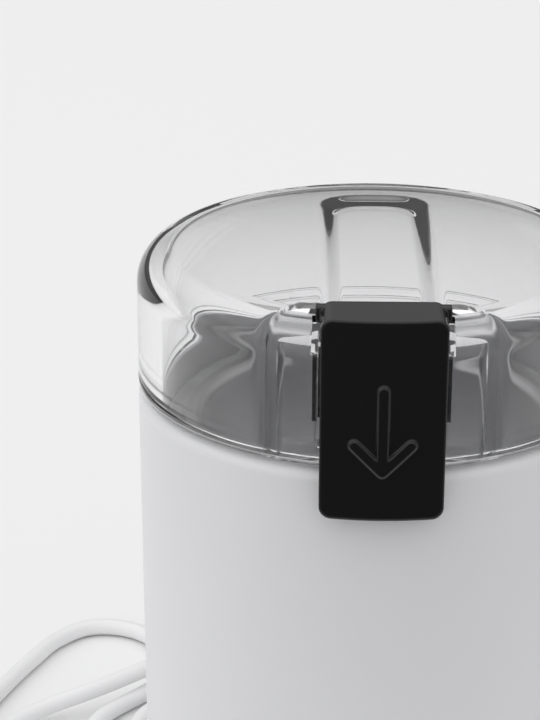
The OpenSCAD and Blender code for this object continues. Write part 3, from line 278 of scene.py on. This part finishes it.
def domeLine(shape, radius, corner, depth, turns, rings):
    # an arc up from the wall that meets a large arc over the axis without a crease
    bend = ((shape["across"] / 2 - shape["edge"]) ** 2 + shape["rise"] ** 2) / (2 * shape["rise"])
    apex, middle = bend - depth, shape["top"] - bend
    centre = radius - corner
    height = middle + np.sqrt((apex - corner) ** 2 - centre ** 2)
    turn = np.linspace(np.pi / 2, np.arctan2(centre, height - middle), turns)
    arc = np.c_[centre + corner * np.sin(turn), height + corner * np.cos(turn)]
    fall = rings[rings < arc[-1, 0] - 0.1]
    return np.r_[arc, np.c_[fall, middle + np.sqrt(apex ** 2 - fall ** 2)]]


def lidOutlines(shape):
    # (radius, height) of the turned form: skirt, wall, corner and dome outside, then the same inside
    half, low, foot = shape["across"] / 2, shape["low"], shape["foot"]
    inner = half - shape["wall"]
    skirt = inner + shape["skirt"]
    bead = np.linspace(0, np.pi, 7)
    outside = np.r_[
        [(inner, foot), (skirt - 0.2, foot), (skirt, foot + 0.2), (skirt, low), (half - 0.4, low),
         (half - 0.1, low + 0.1), (half, low + 0.4)],
        np.c_[half - 0.25 * np.sin(bead), low + 1.6 - 0.25 * np.cos(bead)],
        np.c_[np.full(4, half), np.linspace(low + 2.4, 162, 4)],
        domeLine(shape, half, shape["edge"], 0, 15,
                 np.r_[np.linspace(37, 20, 22)[:-1], np.linspace(20, 7, 40)[:-1], np.linspace(7, 1, 6)])]
    inside = np.r_[
        np.c_[np.full(30, inner), np.r_[np.linspace(foot + 0.5, 145, 20), np.linspace(147, 162.5, 10)]],
        domeLine(shape, inner, shape["corner"], shape["roof"], 12, np.linspace(36, 1, 24))]
    return outside, inside[::-1]


def grooveDepth(shape, x, y, z):
    # finger groove: a shallow scoop that eases off towards a round-ended outline,
    # away = (|x / half|^3 + beyond^3)^(1/3), where beyond counts from where the round end starts
    beyond = np.maximum(y - shape["grooveEnd"] + shape["grooveRound"], 0) / shape["grooveRound"]
    away = (np.abs(x / shape["grooveHalf"]) ** 3 + beyond ** 3) ** (1 / 3)
    return ease((1 - away) / shape["grooveEase"] + 0.5) * ease((z - 163) / 5) * shape["grooveDepth"]


def blockDepth(shape, angle, r, z):
    # block: the wall inside comes forward to a flat back, with rounded sides and a rounded lower end
    back = shape["blockBack"] / np.maximum(np.cos(angle), 0.5)
    end = np.arctan2(shape["blockHalf"], shape["blockBack"] + 1)
    across = softStep((end - np.abs(angle)) * back, shape["blockSoft"])
    up = softStep(z - shape["blockLow"], shape["blockSoft"])
    return np.maximum(r - back, 0) * across * up


def meshFrom(name, points, faces):
    # points are in millimetres
    mesh = bpy.data.meshes.new(name)
    mesh.from_pydata((points / 1000).tolist(), [], faces)
    return mesh


def gridFaces(rows, around, closed):
    # quads between neighbouring rings, and from the last ring back to the first
    i, k = np.meshgrid(np.arange(rows if closed else rows - 1), np.arange(around), indexing="ij")
    a, b = i * around + k, i * around + (k + 1) % around
    c, d = (i + 1) % rows * around + (k + 1) % around, (i + 1) % rows * around + k
    return np.stack([a, b, c, d], -1).reshape(-1, 4)


def lidForm(shape, around):
    # x = r sin(angle), y = -r cos(angle), with angle = t - frontShare sin(t)
    outside, inside = lidOutlines(shape)
    first = len(outside)
    outline = np.r_[outside, inside]
    t = np.linspace(-np.pi, np.pi, around, endpoint=False)
    angle = (t - frontShare * np.sin(t))[None]
    s, c = np.sin(angle), np.cos(angle)
    r, z = np.repeat(outline[:, :1], around, 1), np.repeat(outline[:, 1:], around, 1)
    z[:first] -= grooveDepth(shape, r[:first] * s, -r[:first] * c, z[:first])
    r[first:] -= blockDepth(shape, angle, r[first:], z[first:])
    ring = np.stack([r * s, -r * c, z], -1).reshape(-1, 3)
    # the outer and the inner dome each close on a point over the axis
    faces = gridFaces(len(outline), around, True)
    faces = faces[faces[:, 0] // around != first - 1].tolist()
    k = np.arange(around)
    outer, under = (first - 1) * around + k, first * around + k
    after = (k + 1) % around - k
    faces += np.c_[outer, outer + after, np.full(around, len(ring))].tolist()
    faces += np.c_[under + after, under, np.full(around, len(ring) + 1)].tolist()
    poles = [(0, 0, shape["top"] - shape["grooveDepth"]), (0, 0, shape["top"] - shape["roof"])]
    return meshFrom("lid", np.r_[ring, poles], faces)


def prism(name, outline, low, high):
    # an outline of (x, y) points drawn up from low to high, closed at both ends
    around = len(outline)
    points = np.concatenate([np.c_[outline, np.full(around, z)] for z in (low, high)])
    faces = gridFaces(2, around, False).tolist()
    faces += [list(range(around))[::-1], list(range(around, 2 * around))]
    return meshFrom(name, points, faces)


def box(name, low, high):
    corners = [(low[0], low[1]), (high[0], low[1]), (high[0], high[1]), (low[0], high[1])]
    return prism(name, np.array(corners, float), low[2], high[2])


def pocketForm(shape):
    # a flat back with rounded corners, and a front that follows the lid's wall
    half, back, corner = shape["pocketHalf"], shape["pocketBack"], shape["pocketCorner"]
    reach = shape["across"] / 2 - shape["wall"] - shape["pocketSkin"]
    turn = np.linspace(0, np.pi / 2, 8)
    end = np.arcsin(half / reach)
    arc = np.linspace(-end, end, 48)
    side = np.c_[half - corner + corner * np.cos(turn), -back - corner + corner * np.sin(turn)]
    side[:, 1] = np.maximum(side[:, 1], -reach * np.cos(end) + 0.02)
    front = np.c_[reach * np.sin(arc), -reach * np.cos(arc)]
    rim = np.r_[front, side, side[::-1] * (-1, 1)]
    return prism("pocket", rim, shape["foot"] + 1, shape["pocketTop"])


def cutAway(mesh, cutters, name):
    target = bpy.data.objects.new(name, mesh)
    scene.collection.objects.link(target)
    tools = []
    for cutter in cutters:
        tool = bpy.data.objects.new(cutter.name, cutter)
        scene.collection.objects.link(tool)
        change = target.modifiers.new(cutter.name, "BOOLEAN")
        change.operation, change.solver, change.object = "DIFFERENCE", "EXACT", tool
        tools.append(tool)
    bpy.context.view_layer.update()
    graph = bpy.context.evaluated_depsgraph_get()
    result = bpy.data.meshes.new_from_object(target.evaluated_get(graph))
    target.modifiers.clear()
    target.data = result
    result.name = name
    for tool in tools:
        bpy.data.objects.remove(tool)
    for used in (mesh, *cutters):
        bpy.data.meshes.remove(used)
    return target


def makeLid(shape):
    slot, tab, above = shape["slotHalf"], shape["tabHalf"], shape["above"]
    slotBack = -shape["slotBack"]
    tabBack = slotBack - 0.05  # just in front of the slot's back, so the two cuts share no face
    lid = cutAway(lidForm(shape, lidAround), [
        pocketForm(shape),
        box("slot", (-slot, shape["front"], shape["sill"]), (slot, slotBack, above)),
        box("tabs", (-tab, -shape["tabDeep"], shape["tabLow"]), (tab, tabBack, above)),
    ], "clearLid")
    lid.data.shade_smooth()
    lid.data.set_sharp_from_angle(angle=0.61)
    return lid


lid = makeLid(lidShape)
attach(lid, "lid")
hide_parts("clear_lid")
print("lid", len(lid.data.polygons), "faces")


# ---- springs: each gets a mesh of its own; the table gives each spring's joint, seat, length and travel

springSetup = {
    # metres; seat is the height of the end that stays
    "button_spring": {"joint": "button_press", "seat": 0.1475, "length": 0.0225, "travel": 0.005},
    "plunger_spring": {"joint": "plunger_slide", "seat": 0.1147, "length": 0.0145, "travel": 0.005},
}

for name, spring in springSetup.items():
    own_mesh(nodes[name])


# ---- finishes

def plastic(name, colour, rough, grain=0.0, mottle=0.03, edge=None, **extra):
    # moulded plastic: a slow drift in tone and gloss, and a fine mould grain
    paint = Paint(name, **extra)
    slow = paint.noise(18, 2)
    fine = paint.noise(900, 2)
    dark = tuple(c * (1 - 2 * mottle) for c in colour)
    paint.set("Base Color", paint.mix(paint.ramp(slow, 0.35, 0.65), dark, colour))
    paint.set("Roughness", paint.ramp(slow * 0.6 + fine * 0.4, 0.3, 0.7, rough * 0.85, rough * 1.15))
    if grain or edge:
        paint.bump(fine, grain, 0.00005, edge)
    return paint.material


def metal(name, colour, rough, scale, streak):
    # drawn or turned metal: long streaks in tone and gloss across the given scale
    paint = Paint(name, Metallic=1.0)
    line = paint.noise(1, 3, 0.6, paint.place(scale))
    cloud = paint.noise(45, 3)
    dark = tuple(c * (1 - streak) for c in colour)
    paint.set("Base Color", paint.mix(paint.ramp(line * 0.5 + cloud * 0.5, 0.35, 0.65), dark, colour))
    paint.set("Roughness", paint.ramp(line, 0.3, 0.7, rough * 0.75, rough * 1.3))
    paint.bump(line, 0.15, 0.00004)
    return paint.material


def bowlSteel(name, setup):
    # drawn steel with turning lines; on the flange, where z is above the bowl's mouth, the colour is painted
    # darker, a painted shade that dims the flange's reflection
    paint = Paint(name, Metallic=1.0)
    line = paint.noise(1, 3, 0.6, paint.place((30, 30, 1500)))
    cloud = paint.noise(45, 3)
    # painted shade: above the mouth the colour drops to the rim share, so the flange reflects less light
    rim = paint.ramp(paint.height(), *setup["rimHeight"], 1.0, setup["rim"])
    tone = paint.ramp(line * 0.5 + cloud * 0.5, 0.35, 0.65, 0.88, 1.0) * rim
    paint.set("Base Color", paint.mix(tone, (0, 0, 0), setup["colour"]))
    paint.set("Roughness", paint.ramp(line, 0.3, 0.7, setup["rough"] * 0.75, setup["rough"] * 1.3))
    paint.bump(line, 0.15, 0.00004)
    return paint.material


def rubber(name, colour, rough=0.7):
    paint = Paint(name, Specular_IOR_Level=0.35)
    dust = paint.noise(140, 4, 0.65)
    dusty = tuple(c * 1.6 + 0.01 for c in colour)
    paint.set("Base Color", paint.mix(paint.ramp(dust, 0.45, 0.75), colour, dusty))
    paint.set("Roughness", paint.ramp(dust, 0.3, 0.7, rough * 0.9, min(1, rough * 1.15)))
    paint.bump(paint.noise(1500, 2), 0.2, 0.00005)
    return paint.material


def clearPlastic(name, setup):
    # polished clear plastic with faint flow marks and a few hair scratches
    paint = Paint(name, Base_Color=setup["tint"], IOR=setup["ior"], Transmission_Weight=1.0)
    smear = paint.noise(30, 3, 0.6)
    hair = paint.noise(1, 2, 0.5, paint.place((40, 900, 900), (0.3, 0.2, 0.7)))
    paint.set("Roughness", paint.ramp(smear, 0.4, 0.8, setup["rough"], setup["rough"] * 3))
    paint.bump(smear * 0.8 + paint.ramp(hair, 0.68, 0.72) * 0.2, 0.06, 0.0001)
    return paint.material


def woundWire(name, colour, pitch):
    # enamelled wire wound in rows: ridges along the height, each a little different in tone, with painted
    # shade that darkens the colour between the ridges
    paint = Paint(name, Metallic=0.85, Coat_Weight=0.4)
    rows = paint.add("TexWave", {"wave_type": "BANDS", "bands_direction": "Z", "wave_profile": "SIN"},
                     {"Vector": paint.place(), "Scale": 1 / pitch / 3.2, "Distortion": 1.5, "Detail": 1.0})[1]
    tone = paint.noise(160, 2)
    # painted shade in the grooves: the colour drops towards 0.45 where the rows dip, mixed half and half with
    # random tone
    paint.set("Base Color", paint.mix(paint.ramp(rows * 0.5 + tone * 0.5, 0.3, 0.8),
                                      tuple(c * 0.45 for c in colour), colour))
    paint.set("Roughness", paint.ramp(tone, 0.3, 0.7, 0.22, 0.4))
    paint.bump(rows, 0.6, 0.0003)
    return paint.material


shellSetup = {"colour": linear(226, 226, 228), "rough": 0.34}
lidSetup = {"tint": (0.965, 0.965, 0.972), "ior": 1.5, "rough": 0.004}
buttonSetup = {"colour": (0.006, 0.006, 0.0065), "rough": 0.07, "edge": 0.0007}
# rim: share of the steel's colour left on the flange, painted shade that dims its reflection
steelSetup = {"colour": (0.78, 0.78, 0.79), "rough": 0.42, "rim": 0.37,
              "rimHeight": (0.1368, 0.1384)}

finishes = {
    "white_shell": plastic("white_shell", shellSetup["colour"], shellSetup["rough"], 0.05, 0.01),
    "foot_rubber": rubber("foot_rubber", (0.05, 0.05, 0.05)),
    "zinc": metal("zinc", (0.62, 0.62, 0.6), 0.3, (500, 500, 500), 0.2),
    "bowl_steel": bowlSteel("bowl_steel", steelSetup),
    "gasket": rubber("gasket", (0.26, 0.26, 0.266), 0.6),
    "seal_black": plastic("seal_black", (0.02, 0.02, 0.02), 0.45, 0.1),
    "cast_alloy": metal("cast_alloy", (0.55, 0.55, 0.56), 0.42, (300, 300, 300), 0.3),
    "mount_rubber": rubber("mount_rubber", (0.02, 0.02, 0.02)),
    "lamination_steel": metal("lamination_steel", (0.3, 0.3, 0.31), 0.38, (30, 30, 2600), 0.5),
    "copper_wire": woundWire("copper_wire", (0.62, 0.27, 0.1), 0.0006),
    "bronze": metal("bronze", (0.55, 0.36, 0.16), 0.4, (400, 400, 400), 0.3),
    "brass": metal("brass", (0.72, 0.52, 0.22), 0.28, (60, 900, 900), 0.2),
    "spring_steel": metal("spring_steel", (0.5, 0.5, 0.51), 0.22, (300, 300, 300), 0.2),
    "carbon": plastic("carbon", (0.025, 0.025, 0.027), 0.6, 0.3, 0.2),
    "capacitor_film": plastic("capacitor_film", (0.6, 0.42, 0.05), 0.25, 0.05),
    "switch_black": plastic("switch_black", (0.02, 0.02, 0.021), 0.5, 0.2),
    "inner_plastic": plastic("inner_plastic", (0.66, 0.63, 0.54), 0.45, 0.15),
    "lead_insulation": plastic("lead_insulation", (0.5, 0.5, 0.51), 0.35, 0.1),
    "white_pvc": plastic("white_pvc", linear(236, 236, 237), 0.38, 0.12, 0.02),
    "plug_brass": metal("plug_brass", (0.66, 0.63, 0.57), 0.2, (900, 60, 900), 0.12),
    "clear_plastic": clearPlastic("clear_plastic", lidSetup),
    "gloss_black": plastic("gloss_black", buttonSetup["colour"], buttonSetup["rough"], 0.0, 0.1,
                           buttonSetup["edge"], Specular_IOR_Level=0.5),
    "shaft_steel": metal("shaft_steel", (0.6, 0.6, 0.61), 0.18, (60, 60, 1800), 0.1),
    "commutator_copper": metal("commutator_copper", (0.66, 0.34, 0.16), 0.26, (60, 60, 2200), 0.25),
    "blade_steel": metal("blade_steel", (0.6, 0.6, 0.61), 0.16, (1200, 80, 80), 0.1),
}

slotOf = {part["node"]: part["material_slot"] for part in frame["record"]["subparts"]}
for name, obj in nodes.items():
    obj.data.materials.clear()
    obj.data.materials.append(finishes[slotOf[name]])
cord.data.materials.append(finishes["white_pvc"])
lid.data.materials.append(finishes["clear_plastic"])
print("finished", len(nodes), "nodes")


# ---- floor and light

studioSetup = {
    "floorTone": linear(239, 239, 239),
    "floorReach": 6.0,
    # painted shade: the floor in front of the set is this dark to every ray but the camera's
    "frontShadeTone": (0.1, 0.1, 0.1),  # what the floor in front of the set gives back
    "frontShadeEdge": (-0.3, -0.12),
    "shadeSideEdge": (0.35, 0.6),
    "sky": {"even": 0.03, "above": 1.07, "front": 0.49, "left": 0.51, "right": 0.15, "seen": 0.855},
    "sideLight": {"place": (-1.4, -0.1, 0.8), "size": 0.9, "power": 1.0},
}


def makeFloor(setup):
    reach = setup["floorReach"]
    mesh = bpy.data.meshes.new("floor")
    mesh.from_pydata([(-reach, -reach, 0), (reach, -reach, 0), (reach, reach, 0), (-reach, reach, 0)],
                     [], [(0, 1, 2, 3)])
    obj = bpy.data.objects.new("floor", mesh)
    scene.collection.objects.link(obj)
    # lit as it is seen by the camera; to every other ray the floor in front is a dark patch of painted shade,
    # which darkens the object's front and shows in its gloss
    paint = Paint("floor", Roughness=0.9, Specular_IOR_Level=0.1)
    seen = paint.add("LightPath")[0]
    x, y, z = paint.add("SeparateXYZ", {}, {0: paint.place()})
    # where the floor is not painted dark: behind the front edge, and out to the sides
    lit = 1 - (1 - paint.ramp(y, *setup["frontShadeEdge"])) * (1 - paint.ramp(abs(x), *setup["shadeSideEdge"]))
    share = 1 - (1 - seen) * (1 - lit)
    paint.set("Base Color", paint.mix(share, setup["frontShadeTone"], setup["floorTone"]))
    mesh.materials.append(paint.material)


def makeLight(name, place, size, power, aim=(0, 0, 0.08)):
    data = bpy.data.lights.new(name, "AREA")
    data.shape = "SQUARE"
    data.size = size
    data.energy = power
    obj = bpy.data.objects.new(name, data)
    obj.location = place
    obj.rotation_euler = (Vector(aim) - Vector(place)).to_track_quat("-Z", "Y").to_euler()
    scene.collection.objects.link(obj)


def makeSky(setup):
    # most of the set's light comes from above, less from the front and the left, least from the back;
    # looked at directly the sky has the floor's tone, so the floor's far edge doesn't show
    world = bpy.data.worlds.new("sky")
    paint = Paint("sky", world)
    x, y, z = paint.add("SeparateXYZ", {}, {0: paint.add("TexCoord")[0]})
    level = (z.atLeast(0.0) * setup["above"] + (-y).atLeast(0.0) * setup["front"]
             + (-x).atLeast(0.0) * setup["left"] + x.atLeast(0.0) * setup["right"] + setup["even"])
    level = level + (setup["seen"] - level) * paint.add("LightPath")[0]
    back = paint.tree.nodes["Background"]
    back.inputs["Color"].default_value = (1, 1, 1, 1)
    paint.feed(back.inputs["Strength"], level)
    scene.world = world


makeFloor(studioSetup)
makeSky(studioSetup["sky"])
makeLight("side", **studioSetup["sideLight"])
print("stage set")

bpy.context.view_layer.update()
